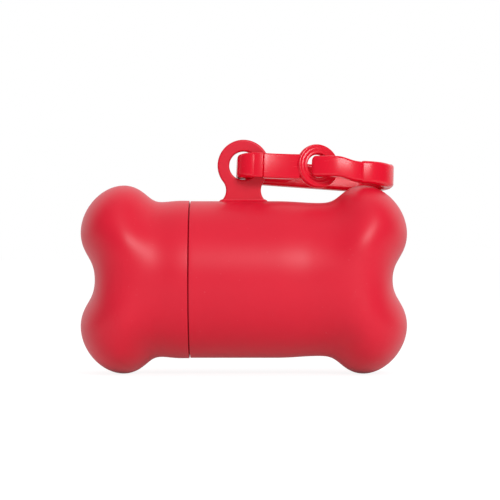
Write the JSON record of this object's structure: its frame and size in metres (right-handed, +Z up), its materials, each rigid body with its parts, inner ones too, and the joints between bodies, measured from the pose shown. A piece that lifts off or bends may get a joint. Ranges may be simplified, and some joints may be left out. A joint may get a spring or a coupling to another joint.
{
  "type": "dog waste bag dispenser",
  "caption": "Bone-shaped dispenser for rolled waste bags, with a pull-off end cap, a slot in the barrel, and a sprung clip through an eyelet.",
  "frame": {"origin": "on the surface that the lower knobs stand on, below the middle of the bone", "axes": "+X along the barrel from the cap to the closed end, +Z up from the barrel to the eyelet, the pictured side faces -Y"},
  "size_m": [0.0849, 0.041, 0.0608],
  "materials": {
    "red_shell": "satin, fine moulded texture",
    "red_clip": "glossy",
    "bag_film": "soft film",
    "core_card": "raw card"
  },
  "bodies": {
    "body": {"body_shell": "red_shell", "bag_tail": "bag_film"},
    "cap": {"end_cap": "red_shell"},
    "roll": {"bag_roll": "bag_film", "roll_core": "core_card"},
    "clip": {"clip_body": "red_clip"},
    "gate": {"clip_gate": "red_clip"}
  },
  "joints": [
    {"name": "cap_pull", "type": "slide", "parent": "body", "child": "cap", "axis": [-1, 0, 0], "range_m": [0, 0.009]},
    {"name": "roll_turn", "type": "hinge", "parent": "body", "child": "roll", "pos_m": [0, 0, 0.02372], "axis": [1, 0, 0], "continuous": true},
    {"name": "clip_swing", "type": "hinge", "parent": "body", "child": "clip", "pos_m": [0, 0, 0.05407], "axis": [0, -1, 0], "range_deg": [0, 185.5]},
    {"name": "gate_press", "type": "hinge", "parent": "clip", "child": "gate", "pos_m": [0.00446, -0.00432, 0.05429], "axis": [0.0379, 0.1564, 0.987], "range_deg": [0, 16], "stiffness_Nm_per_rad": 0.05, "springref_deg": -5.73}
  ]
}
